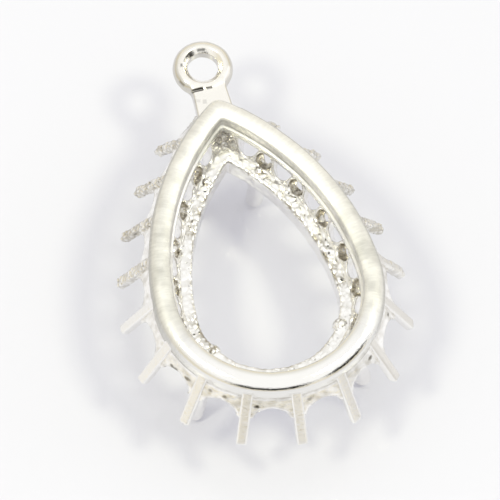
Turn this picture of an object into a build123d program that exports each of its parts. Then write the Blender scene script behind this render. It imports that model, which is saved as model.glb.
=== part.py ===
from build123d import *
from math import acos, asin, atan2, cos, degrees, pi, radians, sin
import os

# Pear-shaped pendant mounting, cast in one piece of silver, with no stones in it. It lies face down on
# the tips of its four centre prongs, with its back rail uppermost.
# Millimetres. X runs across the pear, +Y towards the hanging eye, +Z up, z = 0 under the prong tips.
# An outset is measured outward from the pear's guide line, an inset inward, a drop down from rail_top.

# Pear guide line: a round belly, and two flank arcs that meet at the tip
belly_radius = 6.84
flank_radius = 17.30
tip_reach = 13.34
rail_top = 8.70

# Back rail, a domed ring with a ledge low on its inner side
rail_width = 1.37
rail_outset = 0.47
rail_depth = 1.35
rail_crown = 0.16
rail_shoulder = 0.36
rail_brow = 0.05
ledge_width = 0.16
ledge_depth = 0.50

# Collet round the centre stone, bevelled at the front and rounded at the back
collet_inset = 2.35
collet_width = 0.85
collet_drop = 2.36
collet_depth = 1.79
collet_bevel = 0.36
collet_round = 0.24

# Halo tier that joins the collet, the back rail and the halo prongs
tier_lap = 0.20
tier_wall = 1.62
halo_pairs = 8
halo_splay = 31.5

# Seats for the round halo stones
halo_stone = 2.50
seat_clearance = 0.27
seat_inset = 0.56
seat_drop = 1.88
seat_rim = 1.25
pilot_radius = 0.36
pocket_radius = 0.50
pocket_inset = 1.20
pocket_drop = 1.92

# See-through windows between the seats
window_radius = 0.70
window_inset = 0.76
window_drop = 1.90
window_tilt = 20.0

# Halo prongs
halo_prong_width = 0.72
halo_prong_thickness = 0.62
halo_prong_outset = 0.58
halo_prong_drop = 1.66
halo_prong_length = 3.16
halo_prong_root = 0.75
prong_round = 0.18

# Centre prongs, an upper and a lower pair: the place along the halo, the inset of the lobe, the splay
centre_prong_radius = 0.56
lobe_rise = 0.12
heart_y = 1.40
centre_prong_table = [
    {"station": 2.45, "inset": 2.06, "splay": 18.3},
    {"station": 7.50, "inset": 1.84, "splay": 11.4},
]

# Hanging eye and its neck
eye_reach = 16.85
eye_drop = 2.10
eye_bore_radius = 0.97
eye_radius = 1.91
eye_thickness = 1.20
eye_bore_length = 0.56
eye_bevel = 0.30
neck_width = 2.20
neck_foot_width = 2.44
neck_thickness = 0.96
neck_groove_radius = 0.34
neck_groove_depth = 0.16

# Guide line worked out from the sizes above
arc_gap = flank_radius - belly_radius
joint_angle = asin((flank_radius**2 - arc_gap**2 - tip_reach**2) / (2 * tip_reach * arc_gap))
flank_x = -arc_gap * cos(joint_angle)
flank_y = -arc_gap * sin(joint_angle)
belly_length = belly_radius * (joint_angle + pi / 2)
flank_turn = acos(-flank_x / flank_radius) - joint_angle
pitch = (belly_length + flank_radius * flank_turn) / (halo_pairs + 1)
ledge_inset = rail_width - rail_outset + ledge_width


def tip_y(outset):
    """Where a line at this outset crosses the pear's axis at the tip."""
    return flank_y + ((flank_radius + outset) ** 2 - flank_x**2) ** 0.5


def station(place):
    """Frame on the guide line at rail_top, its X axis outward. The place counts prongs from the belly."""
    run = abs(place) * pitch
    if run <= belly_length:
        angle = run / belly_radius - pi / 2
        centre = (0, 0)
        radius = belly_radius
    else:
        angle = joint_angle + (run - belly_length) / flank_radius
        centre = (flank_x, flank_y)
        radius = flank_radius
    side = -1 if place < 0 else 1
    x = side * (centre[0] + radius * cos(angle))
    y = centre[1] + radius * sin(angle)
    outward = (side * cos(angle), sin(angle), 0)
    return Location(Plane(origin=(x, y, rail_top), x_dir=outward, z_dir=(0, 0, 1)))


def pear_ring(lines):
    """Carries a closed section round the pear. Its lines run in (outset, height above rail_top)."""
    start = Plane(
        origin=(belly_radius * cos(joint_angle), belly_radius * sin(joint_angle), rail_top),
        x_dir=(cos(joint_angle), sin(joint_angle), 0),
        z_dir=(sin(joint_angle), -cos(joint_angle), 0),
    )
    section = start * make_face(lines)
    belly = revolve(section, Axis((0, 0, 0), (0, 0, -1)), 180 + 2 * degrees(joint_angle))
    past_tip = degrees(flank_turn) + 25
    flank = revolve(section, Axis((flank_x, flank_y, 0), (0, 0, 1)), past_tip)
    span = 4 * tip_reach
    flank &= Pos(span / 2, 0, 0) * Box(span, span, span)
    return belly + flank + flank.mirror(Plane.YZ)


def back_rail():
    outer = rail_outset
    inner = rail_outset - rail_width
    ledge = inner - ledge_width
    crown = (outer + inner) / 2
    dome = ThreePointArc((outer, -rail_shoulder), (crown, rail_crown), (inner, -rail_brow))
    walls = Polyline(
        (inner, -rail_brow),
        (inner, -rail_depth + ledge_depth),
        (ledge, -rail_depth + ledge_depth / 3),
        (ledge, -rail_depth),
        (outer, -rail_depth),
        (outer, -rail_shoulder),
    )
    return pear_ring(dome + walls)


def tier_front():
    """Where the tier's front face meets its outer wall, both square to or along the seats' axis."""
    splay = radians(halo_splay)
    middle = (-seat_inset + tier_wall * sin(splay), -seat_drop - tier_wall * cos(splay))
    wall_foot = (rail_outset, -rail_depth)
    reach = (wall_foot[0] - middle[0]) * cos(splay) + (wall_foot[1] - middle[1]) * sin(splay)
    return (middle[0] + reach * cos(splay), middle[1] + reach * sin(splay))


def halo_tier():
    outer_lap = rail_outset - tier_lap / 4
    front = tier_front()
    collet_foot = -collet_drop - collet_depth
    shelf = -collet_inset + collet_width
    round_foot = (-collet_inset, -collet_drop - collet_round)
    round_top = (-collet_inset + collet_round, -collet_drop)
    outline = TangentArc(round_foot, round_top, tangent=(0, 1)) + Polyline(
        round_top,
        (shelf, -collet_drop),
        (-ledge_inset, -rail_depth),
        (-ledge_inset + tier_lap, -rail_depth + tier_lap),
        (outer_lap, -rail_depth + tier_lap),
        (rail_outset, -rail_depth),
        front,
        (shelf + collet_bevel, collet_foot),
        (-collet_inset + collet_bevel, collet_foot),
        (-collet_inset, collet_foot + collet_bevel),
        round_foot,
    )
    cuts = [window(place) for place in range(-halo_pairs, halo_pairs + 1)]
    for pair in range(halo_pairs):
        for place in (-pair - 0.5, pair + 0.5):
            cuts += [seat(place), pocket(place)]
    return pear_ring(outline) - cuts


def window(place):
    """Round window through the tier, behind a halo prong."""
    length = 2 * (collet_drop + collet_depth)
    at = Pos(-window_inset, 0, -window_drop) * Rot(0, -window_tilt, 0)
    return station(place) * at * Cylinder(window_radius, length)


def seat(place):
    """Conical seat of one halo stone with its pilot hole, on an axis that leans out as the prongs do."""
    rim_radius = halo_stone / 2 + seat_clearance
    cone_start = seat_rim - (rim_radius - pilot_radius)
    profile = Polyline(
        (0, seat_drop),
        (pilot_radius, seat_drop),
        (pilot_radius, -cone_start),
        (rim_radius, -seat_rim),
        (rim_radius, -2 * tier_wall),
        (0, -2 * tier_wall),
        close=True,
    )
    cutter = revolve(Plane.XZ * make_face(profile), Axis.Z)
    at = Pos(-seat_inset, 0, -seat_drop) * Rot(0, -halo_splay, 0)
    return station(place) * at * cutter


def pocket(place):
    """Round cup behind a seat, in the inner face of the post between two windows."""
    return station(place) * Pos(-pocket_inset, 0, -pocket_drop) * Sphere(pocket_radius)


def halo_prong(place):
    """Bar that leans outward between two seats, with its root under the back rail."""
    length = halo_prong_root + halo_prong_length
    bar = Box(halo_prong_thickness, halo_prong_width, length, align=(Align.CENTER, Align.CENTER, Align.MAX))
    bar = fillet(bar.edges().filter_by(Axis.Z), prong_round)
    bar = chamfer(bar.faces().sort_by(Axis.Z)[0].edges(), prong_round / 2)
    at = Pos(halo_prong_outset, 0, -halo_prong_drop) * Rot(0, -halo_splay, 0) * Pos(0, 0, halo_prong_root)
    return station(place) * at * bar


def centre_prong(side, place, inset, splay):
    """Round bar from a lobe on the collet's back down to the surface, leaning away from the pear's heart."""
    radius = centre_prong_radius
    lobe = (station(side * place) * Pos(-inset, 0, -collet_drop - radius + lobe_rise)).position
    bearing = atan2(lobe.Y - heart_y, lobe.X)
    lean = radians(splay)
    along = Vector(cos(bearing) * sin(lean), sin(bearing) * sin(lean), -cos(lean))
    length = (lobe.Z - radius) / cos(lean)
    outline = [
        Line((0, -radius), (0, length + radius)),
        RadiusArc((0, length + radius), (radius, length), radius),
        Line((radius, length), (radius, 0)),
        RadiusArc((radius, 0), (0, -radius), radius),
    ]
    bar = revolve(Plane.XZ * make_face(outline), Axis.Z)
    return Location(Plane(origin=lobe, z_dir=along)) * bar


def hanging_eye():
    half = eye_thickness / 2
    bore_half = eye_bore_length / 2
    rim = (eye_bore_radius + eye_bevel, half)
    round_start = (eye_radius - half, half)
    sides = Polyline(
        (round_start[0], -half),
        (rim[0], -half),
        (eye_bore_radius, -bore_half),
        (eye_bore_radius, bore_half),
        rim,
        round_start,
    )
    edge = ThreePointArc(round_start, (eye_radius, 0), (round_start[0], -half))
    ring = revolve(Plane.XZ * make_face(sides + edge), Axis.Z)
    return Pos(0, eye_reach, rail_top - eye_drop) * ring


def neck():
    """Flat bar from the eye to the tier's tip, wider at its foot, with a groove across it by the eye."""
    near_eye = eye_reach - eye_bore_radius - eye_bevel
    waist = eye_reach - eye_radius
    foot = tip_y(rail_outset - rail_width)
    half = neck_width / 2
    outline = Polyline(
        (-half, near_eye),
        (half, near_eye),
        (half, waist),
        (neck_foot_width / 2, tip_y(0)),
        (neck_foot_width / 2, foot),
        (-neck_foot_width / 2, foot),
        (-neck_foot_width / 2, tip_y(0)),
        (-half, waist),
        close=True,
    )
    bar = extrude(make_face(outline), neck_thickness / 2, both=True)
    groove_z = neck_thickness / 2 + neck_groove_radius - neck_groove_depth
    groove = Pos(0, waist + neck_groove_radius, groove_z) * Rot(0, 90, 0)
    bar -= groove * Cylinder(neck_groove_radius, neck_width)
    return Pos(0, 0, rail_top - eye_drop) * bar


def mounting():
    casting = back_rail() + halo_tier()
    prongs = [halo_prong(place) for place in range(-halo_pairs, halo_pairs + 1)]
    for row in centre_prong_table:
        for side in (-1, 1):
            prongs.append(centre_prong(side, row["station"], row["inset"], row["splay"]))
    casting = casting + prongs + [neck(), hanging_eye()]
    box = casting.bounding_box()
    return Pos(0, -(box.min.Y + box.max.Y) / 2, -box.min.Z) * casting


os.makedirs("parts", exist_ok=True)
export_step(mounting(), "parts/pear_mounting.step")
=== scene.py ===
"""Visual model of a pear-shaped dangle pendant mounting: an empty casting in silver, lying face down.

The pieces are modelled in millimetres in the pear's own frame: x across, y towards the hanging eye,
height up from the back rail's top. They are written to Blender in metres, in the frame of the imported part.
"""

import logging
import math
from dataclasses import dataclass, field
from enum import Enum
from typing import Callable, Sequence

import bpy
import numpy as np
from mathutils import Matrix, Vector, noise


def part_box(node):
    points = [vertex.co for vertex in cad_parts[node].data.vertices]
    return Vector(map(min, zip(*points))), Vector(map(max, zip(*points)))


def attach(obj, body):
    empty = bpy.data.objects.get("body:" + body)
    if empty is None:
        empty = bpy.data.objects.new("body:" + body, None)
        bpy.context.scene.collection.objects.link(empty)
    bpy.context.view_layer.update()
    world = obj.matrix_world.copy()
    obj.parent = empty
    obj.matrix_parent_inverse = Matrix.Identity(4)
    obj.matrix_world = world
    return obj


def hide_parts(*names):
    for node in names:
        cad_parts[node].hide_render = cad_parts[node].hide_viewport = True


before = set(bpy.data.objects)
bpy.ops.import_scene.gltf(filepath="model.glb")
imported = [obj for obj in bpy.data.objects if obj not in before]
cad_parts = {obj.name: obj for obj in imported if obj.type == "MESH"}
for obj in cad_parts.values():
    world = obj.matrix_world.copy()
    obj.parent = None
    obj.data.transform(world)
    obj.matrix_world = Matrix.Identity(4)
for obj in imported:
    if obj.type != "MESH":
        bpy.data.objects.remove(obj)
NODE = "pear_mounting"
BODY = "root"
MM = 0.001
# Room that a grid leaves under and over its form, in millimetres
ROOM_BELOW = 0.2
ROOM_ABOVE = 0.3

log = logging.getLogger("mounting")

Array = np.ndarray
Pair = tuple[float, float]
Colour = tuple[float, float, float]
Socket = bpy.types.NodeSocket


def smooth_min(a: Array, b: Array, reach: float) -> Array:
    """Joins two distance fields with a fillet.

    Args:
        a: distances to the first form.
        b: distances to the second form.
        reach: how far the fillet reaches, in millimetres.

    Returns:
        The distances to the joined form.
    """
    share = np.clip(0.5 + 0.5 * (b - a) / reach, 0, 1)
    return b + (a - b) * share - reach * share * (1 - share)


def cut(form: Array, cutter: Array, reach: float) -> Array:
    """Cuts one form out of another and rounds the rim of the cut.

    Args:
        form: distances to the form that is cut.
        cutter: distances to the form that is taken away.
        reach: how far the rounding of the rim reaches, in millimetres.

    Returns:
        The distances to what is left.
    """
    return -smooth_min(-form, cutter, reach)


def outline_distance(corners: Sequence[Pair], u: Array, v: Array) -> Array:
    """Signed distance to a closed outline, negative inside it.

    Args:
        corners: the outline's corners, in order.
        u: first coordinates of the points.
        v: second coordinates of the points.

    Returns:
        The distance of each point.
    """
    nearest = np.inf
    inside = False
    for (au, av), (bu, bv) in zip(corners, list(corners[1:]) + list(corners[:1])):
        eu, ev = bu - au, bv - av
        share = np.clip(((u - au) * eu + (v - av) * ev) / (eu * eu + ev * ev), 0, 1)
        nearest = np.minimum(nearest, (u - au - eu * share) ** 2 + (v - av - ev * share) ** 2)
        if av != bv:
            inside = inside ^ (((av > v) != (bv > v)) & (u < eu * (v - av) / ev + au))
    return np.where(inside, -1, 1) * np.sqrt(nearest)


def rounded(sides: Sequence[Array], radius: float) -> Array:
    """Rounds the edges of a block.

    Args:
        sides: distances past each pair of its sides, negative inside.
        radius: radius of the edges.

    Returns:
        The distances to the rounded block.
    """
    cores = [side + radius for side in sides]
    outside = np.sqrt(sum(np.maximum(core, 0) ** 2 for core in cores))
    inside = cores[0]
    for core in cores[1:]:
        inside = np.maximum(inside, core)
    return outside + np.minimum(inside, 0) - radius


@dataclass(frozen=True)
class Ramp:
    """Soft step from its least value, at its start, to 1 at its end."""

    start: float
    end: float
    least: float = 0.0

    def __call__(self, values: Array) -> Array:
        """Gives the step at each value."""
        share = np.clip((values - self.start) / (self.end - self.start), 0, 1)
        return self.least + (1 - self.least) * share * share * (3 - 2 * share)


@dataclass(frozen=True)
class PearLine:
    """Guide line of the pear, in millimetres: a round belly and two flank arcs that meet at the tip."""

    belly_radius: float = 6.84
    flank_radius: float = 17.30
    tip_reach: float = 13.34
    halo_pairs: int = 8

    @property
    def joint_angle(self) -> float:
        """Angle at which the belly meets a flank."""
        gap = self.flank_radius - self.belly_radius
        rise = self.flank_radius**2 - gap**2 - self.tip_reach**2
        return math.asin(rise / (2 * self.tip_reach * gap))

    @property
    def flank_centre(self) -> Pair:
        """Centre of the right flank's arc."""
        gap = self.flank_radius - self.belly_radius
        return -gap * math.cos(self.joint_angle), -gap * math.sin(self.joint_angle)

    @property
    def belly_run(self) -> float:
        """Length of the guide line from the belly's middle to the flank."""
        return self.belly_radius * (self.joint_angle + math.pi / 2)

    @property
    def pitch(self) -> float:
        """Length of the guide line from one halo prong to the next."""
        turn = math.acos(-self.flank_centre[0] / self.flank_radius) - self.joint_angle
        return (self.belly_run + self.flank_radius * turn) / (self.halo_pairs + 1)

    def tip_angle(self, outset: float) -> float:
        """Angle on the flank's arc at which a line at this outset reaches the pear's axis."""
        return math.acos(-self.flank_centre[0] / (self.flank_radius + outset))

    def locate(self, x: Array, y: Array) -> tuple[Array, Array]:
        """Finds where points lie across and along the guide line.

        Args:
            x: places across the pear.
            y: places along the pear.

        Returns:
            The outset from the guide line, and the length along it from the belly's middle.
        """
        side = np.abs(x)
        cx, cy = self.flank_centre
        joint = self.joint_angle
        on_flank = y * math.cos(joint) > side * math.sin(joint)
        belly_out = np.hypot(side, y) - self.belly_radius
        belly_along = self.belly_radius * (np.arctan2(y, side) + math.pi / 2)
        flank_out = np.hypot(side - cx, y - cy) - self.flank_radius
        flank_along = self.belly_run + self.flank_radius * (np.arctan2(y - cy, side - cx) - joint)
        return np.where(on_flank, flank_out, belly_out), np.where(on_flank, flank_along, belly_along)

    def station(self, place: float) -> tuple[float, float, float]:
        """Finds a place on the guide line.

        Args:
            place: number of pitches from the belly's middle, negative on the left.

        Returns:
            The x and y of the place, and the angle of its outward direction.
        """
        run = abs(place) * self.pitch
        if run <= self.belly_run:
            (cx, cy), radius = (0.0, 0.0), self.belly_radius
            angle = run / radius - math.pi / 2
        else:
            (cx, cy), radius = self.flank_centre, self.flank_radius
            angle = self.joint_angle + (run - self.belly_run) / radius
        x, y = cx + radius * math.cos(angle), cy + radius * math.sin(angle)
        return (x, y, angle) if place >= 0 else (-x, y, math.pi - angle)

    def places(self, x: Array, run: Array) -> Array:
        """Turns lengths along the line into pitches from the belly's middle, negative on the left."""
        return np.where(x < 0, -1, 1) * run / self.pitch

    def nearest_prong(self, places: Array) -> Array:
        """The place of the nearest halo prong."""
        return np.clip(np.round(places), -self.halo_pairs, self.halo_pairs)

    def nearest_seat(self, places: Array) -> Array:
        """The place of the nearest halo seat, midway between two prongs."""
        limit = self.halo_pairs - 0.5
        return np.clip(np.floor(places) + 0.5, -limit, limit)


LINE = PearLine()


def about(x: Array, y: Array, places: Array) -> tuple[Array, Array]:
    """Measures points from the frames of places on the guide line.

    Args:
        x: places across the pear.
        y: places along the pear.
        places: the place on the line that each point is measured from.

    Returns:
        How far out of its place each point lies, and how far along from it.
    """
    known, which = np.unique(places, return_inverse=True)
    rows = np.array([LINE.station(place) for place in known])[which.reshape(places.shape)]
    dx, dy, angle = x - rows[..., 0], y - rows[..., 1], rows[..., 2]
    out = dx * np.cos(angle) + dy * np.sin(angle)
    along = dy * np.cos(angle) - dx * np.sin(angle)
    return out, along


@dataclass(frozen=True)
class Seating:
    """Where the pear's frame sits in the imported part, in millimetres."""

    shift_y: float
    rail_top: float

    @classmethod
    def from_frame(cls, eye_far_edge: float, dome_rise: float) -> "Seating":
        """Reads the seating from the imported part's box.

        Args:
            eye_far_edge: y of the hanging eye's far edge in the pear's frame.
            dome_rise: height of the back rail's crown over the rail's top.

        Returns:
            The seating.
        """
        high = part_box(NODE)[1]
        return cls(high.y / MM - eye_far_edge, high.z / MM - dome_rise)

    def to_metres(self, points: Array) -> Array:
        """Turns points of the pear's frame into the part's frame, in metres."""
        return (points + (0, self.shift_y, self.rail_top)) * MM


@dataclass
class Grid:
    """Sample points in the pear's frame, on a lattice whose x and y planes are shared by all heights."""

    low: tuple[float, float, float]
    high: tuple[float, float, float]
    cell: float
    x: Array = field(init=False)
    y: Array = field(init=False)
    height: Array = field(init=False)
    outset: Array = field(init=False)
    place: Array = field(init=False)

    def __post_init__(self) -> None:
        """Lays out the lattice and finds each column's place along the pear."""
        spans = [np.arange(a, b + self.cell, self.cell) for a, b in zip(self.low, self.high)]
        self.x = spans[0][:, None, None]
        self.y = spans[1][None, :, None]
        self.height = spans[2][None, None, :]
        self.outset, run = LINE.locate(self.x, self.y)
        self.place = LINE.places(self.x, run)

    @classmethod
    def round_pear(cls, aside: float, past_tip: float, low: float, high: float, cell: float) -> "Grid":
        """Lays a lattice over the whole pear.

        Args:
            aside: how far it reaches past the belly's guide line.
            past_tip: how far it reaches past the guide line's tip.
            low: its lowest height.
            high: its highest height.
            cell: spacing of its points.

        Returns:
            The lattice.
        """
        reach = LINE.belly_radius + aside
        return cls((-reach, -reach, low), (reach, LINE.tip_reach + past_tip, high), cell)

    def skin(self, distance: Array) -> tuple[Array, list[list[int]]]:
        """Lays a skin of quads over the zero level of a sampled distance.

        Args:
            distance: the distance at each sample point, negative inside.

        Returns:
            The skin's vertices in millimetres and its faces.
        """
        cells = np.array(distance.shape) - 1
        spots, owners, quads = [], [], []
        for axis in range(3):
            u, v = (axis + 1) % 3, (axis + 2) % 3
            before = np.take(distance, range(distance.shape[axis] - 1), axis)
            after = np.take(distance, range(1, distance.shape[axis]), axis)
            at = np.argwhere((before < 0) != (after < 0))
            start = before[tuple(at.T)]
            end = after[tuple(at.T)]
            spot = at.astype(float)
            spot[:, axis] += start / (start - end)
            ring = []
            for du, dv in ((1, 1), (0, 1), (0, 0), (1, 0)):
                corner = at.copy()
                corner[:, u] -= du
                corner[:, v] -= dv
                ring.append(np.ravel_multi_index(tuple(corner.T), tuple(cells)))
                spots.append(spot)
            owners.extend(ring)
            ring = np.stack(ring, 1)
            quads.append(np.where((start < 0)[:, None], ring, ring[:, ::-1]))
        known, which = np.unique(np.concatenate(owners), return_inverse=True)
        count = np.bincount(which)
        every = np.concatenate(spots)
        mean = np.stack([np.bincount(which, every[:, axis]) / count for axis in range(3)], 1)
        faces = np.searchsorted(known, np.concatenate(quads))
        return even_out(mean * self.cell + np.array(self.low), faces), faces.tolist()


class Coat(Enum):
    """Values painted on a skin's vertices, which the finishes read."""

    # Brown: the metal's tarnished tint, and painted shade and painted reflections where a piece asks for
    # them.
    TARNISH_AND_SHADE = "tarnish_and_shade"
    # Near-black: painted shade in the tier's nooks and the eye's recesses, and dark arcs on the eye.
    DARKENING = "darkening"
    PITTED = "pitted"
    POLISH = "polish"
    RUN = "run"


@dataclass
class Piece:
    """A finished piece of the mounting, made in the pear's frame and set in the part's frame."""

    name: str
    vertices: Array
    faces: list[list[int]]
    coats: dict[Coat, Array]

    def set_in(self, seating: Seating, finish: bpy.types.Material) -> bpy.types.Object:
        """Writes the piece as a Blender object that rides on the part.

        Args:
            seating: where the pear's frame sits in the part.
            finish: the piece's material.

        Returns:
            The object.
        """
        mesh = bpy.data.meshes.new(self.name)
        mesh.from_pydata(seating.to_metres(self.vertices).tolist(), [], self.faces)
        mesh.shade_smooth()
        for coat, values in self.coats.items():
            layer = mesh.attributes.new(coat.value, "FLOAT", "POINT")
            layer.data.foreach_set("value", values.astype(np.float32))
        mesh.materials.append(finish)
        piece = bpy.data.objects.new(self.name, mesh)
        bpy.context.scene.collection.objects.link(piece)
        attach(piece, BODY)
        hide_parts(NODE)
        log.info("%s: %d vertices, %d faces", self.name, len(mesh.vertices), len(mesh.polygons))
        return piece


def even_out(vertices: Array, quads: Array) -> Array:
    """Draws each vertex of a quad skin halfway to the middle of its neighbours.

    Args:
        vertices: the skin's vertices.
        quads: its faces.

    Returns:
        The moved vertices.
    """
    first = quads.ravel()
    second = np.roll(quads, -1, axis=1).ravel()
    count = np.bincount(first, minlength=len(vertices)) + np.bincount(second, minlength=len(vertices))
    middle = np.stack([
        np.bincount(first, vertices[second, axis], len(vertices))
        + np.bincount(second, vertices[first, axis], len(vertices))
        for axis in range(3)
    ], 1) / count[:, None]
    return vertices + (middle - vertices) / 2


def normals_of(vertices: Array, faces: list[list[int]]) -> Array:
    """Unit normals at the vertices of a quad skin."""
    quads = np.array(faces)
    corner = vertices[quads]
    face = np.cross(corner[:, 2] - corner[:, 0], corner[:, 3] - corner[:, 1])
    total = np.stack([
        sum(np.bincount(quads[:, k], face[:, axis], len(vertices)) for k in range(4)) for axis in range(3)
    ], 1)
    return total / np.maximum(np.linalg.norm(total, axis=1, keepdims=True), 1e-12)


def raised(vertices: Array, faces: list[list[int]], rise: Array) -> Array:
    """Moves each vertex of a quad skin along its normal by its rise."""
    return vertices + normals_of(vertices, faces) * rise[:, None]


@dataclass(frozen=True)
class Lumps:
    """Uneven height of a cast skin, from about -1 to 1, in lumps of one size and of finer ones."""

    size: float
    octaves: int
    seed: float
    falloff: float = 0.7
    step: float = 2.0

    def __call__(self, points: Array) -> Array:
        """Gives the height at each point."""
        shift = Vector((self.seed, -self.seed, self.seed / 2))
        how = (self.falloff, self.step, self.octaves)
        return np.array([
            noise.fractal(Vector(point) / self.size + shift, *how, noise_basis="PERLIN_ORIGINAL")
            for point in points.tolist()
        ])


@dataclass(frozen=True)
class Nuggets:
    """Height of a coarse cast skin: rounded nuggets with narrow pits between them, from about -1 to 1."""

    spacing: float
    seed: float
    steepness: float = 2.2
    height: float = 1.1
    pit_depth: float = 0.8
    swell: float = 0.9
    swell_scale: float = 0.6

    def __call__(self, points: Array) -> Array:
        """Gives the height at each point."""
        shift = Vector((self.seed, self.seed / 3, -self.seed))
        heights = []
        for point in points.tolist():
            at = Vector(point) / self.spacing + shift
            near, next_near = noise.voronoi(at)[0][:2]
            swell = self.swell * noise.noise(at * self.swell_scale, noise_basis="PERLIN_ORIGINAL")
            nugget = min(1.0, self.steepness * (next_near - near)) * self.height
            heights.append(nugget - self.pit_depth + swell)
        return np.array(heights)


@dataclass(frozen=True)
class BackRail:
    """Domed pear-shaped ring at the mounting's back, with a ledge low on its inner side."""

    width: float = 1.37
    outset: float = 0.47
    depth: float = 1.35
    crown: float = 0.16
    shoulder: float = 0.36
    brow: float = 0.05
    ledge_width: float = 0.16
    ledge_depth: float = 0.50
    crease_depth: float = 0.035
    crease_width: float = 0.10
    edge_round: float = 0.07
    ledge_round: float = 0.05
    tip_round: Pair = (0.36, 0.08)
    tip_round_reach: float = 4.0
    belly_steps: int = 150
    flank_steps: int = 130
    dome_rows: int = 26
    side_rows: int = 5
    wall_rows: int = 7
    dents: Lumps = Lumps(1.4, 2, 3.0)
    dent_height: float = 0.012
    patches: Lumps = Lumps(1.4, 3, 6.0)
    row_seed: int = 4
    row_tone: float = 0.45
    wall_shade: float = 0.30
    edge_shade: float = 0.52
    satin_tarnish: float = 0.31
    brow_shade: float = 0.11
    matt_from: Pair = (1.9, 1.5)
    matt_fade: Ramp = Ramp(1.0, 1.95)
    inner_fade: Ramp = Ramp(0.03, 0.0)
    wall_fade: Ramp = Ramp(0.0, -0.15)
    ledge_fade: Ramp = Ramp(0.06, -0.04)
    edge_fade: Ramp = Ramp(-0.27, -0.11)
    brow_fade: Ramp = Ramp(-0.40, -0.80)
    left_fade: Ramp = Ramp(1.0, -3.0)
    upper_fade: Ramp = Ramp(4.2, 6.8)
    tip_fade: Ramp = Ramp(-1.2, 0.6)
    edge_shade_cut: float = 0.72
    satin_wear: float = 0.95
    satin_patches: float = 0.7
    left_shade: float = 0.2
    upper_lightness: float = 0.75
    left_darkness: float = 0.4
    ledge_polish: float = 0.8
    ledge_loss: float = 0.85
    ledge_patches: Pair = (0.75, 1.2)

    @property
    def ledge_inset(self) -> float:
        """Inset of the ledge's inner edge."""
        return self.width - self.outset + self.ledge_width

    @property
    def dome(self) -> tuple[Pair, float]:
        """Centre and radius of the dome's arc, in the rail's section."""
        (ax, ay), (bx, by) = (self.outset, -self.shoulder), (self.outset - self.width, -self.brow)
        mx, my = self.outset - self.width / 2, self.crown
        turn = 2 * (ax * (by - my) + bx * (my - ay) + mx * (ay - by))
        a2, b2, m2 = ax**2 + ay**2, bx**2 + by**2, mx**2 + my**2
        cx = (a2 * (by - my) + b2 * (my - ay) + m2 * (ay - by)) / turn
        cy = (a2 * (mx - bx) + b2 * (ax - mx) + m2 * (bx - ax)) / turn
        return (cx, cy), math.hypot(ax - cx, ay - cy)

    @property
    def dome_rise(self) -> float:
        """Height of the dome's highest line over the rail's top."""
        (_, cy), radius = self.dome
        return cy + radius

    def section(self) -> list[Pair]:
        """Works out the rail's section, from the outer foot over the dome to the inner foot.

        Returns:
            Points in (outset, height), going round once.
        """
        outer, inner = self.outset, self.outset - self.width
        ledge = inner - self.ledge_width
        (cx, cy), radius = self.dome
        margin = self.edge_round / radius
        start = math.atan2(-self.shoulder - cy, outer - cx) + margin
        turn = math.atan2(-self.brow - cy, inner - cx) - margin - start
        side = self.depth - self.shoulder - self.crease_width
        wall_foot = -self.depth + self.ledge_depth
        high, low = -self.brow - self.edge_round, wall_foot + self.edge_round
        points = [(outer - self.edge_round, -self.depth), (outer, -self.depth + self.edge_round)]
        points += [(outer, -self.depth + side * k / self.side_rows) for k in range(2, self.side_rows + 1)]
        points += [(outer - self.crease_depth, -self.shoulder - self.crease_width / 2)]
        for k in range(self.dome_rows + 1):
            angle = start + turn * k / self.dome_rows
            points.append((cx + radius * math.cos(angle), cy + radius * math.sin(angle)))
        points += [(inner, high + (low - high) * k / self.wall_rows) for k in range(self.wall_rows + 1)]
        points += [(inner - self.ledge_round / 2, wall_foot)]
        points += [(ledge + self.ledge_round / 2, wall_foot - self.ledge_round / 2)]
        points += [(ledge, wall_foot - 1.2 * self.ledge_round), (ledge, -self.depth)]
        return points

    def rings(self) -> Array:
        """Carries the section round the pear, with its corners on the axis at the tip.

        Returns:
            The section's points at each step round the pear.
        """
        (cx, cy), joint = LINE.flank_centre, LINE.joint_angle
        belly = np.linspace(-math.pi / 2, joint, self.belly_steps)
        share = np.linspace(0, 1, self.flank_steps + 1)[1:]
        outer_round, inner_round = self.tip_round
        half = []
        for outset, height in self.section():
            flank_radius = LINE.flank_radius + outset
            flank = joint + (LINE.tip_angle(outset) - joint) * share
            blend = (outset + self.ledge_inset) / (self.outset + self.ledge_inset)
            soft = inner_round + (outer_round - inner_round) * blend
            flank_x = cx + flank_radius * np.cos(flank)
            near = np.where(flank_x < self.tip_round_reach * soft, np.hypot(flank_x, soft), flank_x)
            flank_y = cy + np.sqrt(flank_radius**2 - (near - cx) ** 2)
            x = np.concatenate([(LINE.belly_radius + outset) * np.cos(belly), flank_x])
            y = np.concatenate([(LINE.belly_radius + outset) * np.sin(belly), flank_y])
            half.append(np.stack([x, y, np.full(len(x), height)], 1))
        right = np.array(half).transpose(1, 0, 2)
        right[[0, -1], :, 0] = 0
        return np.concatenate([right, right[1:-1][::-1] * (-1, 1, 1)])

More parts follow.
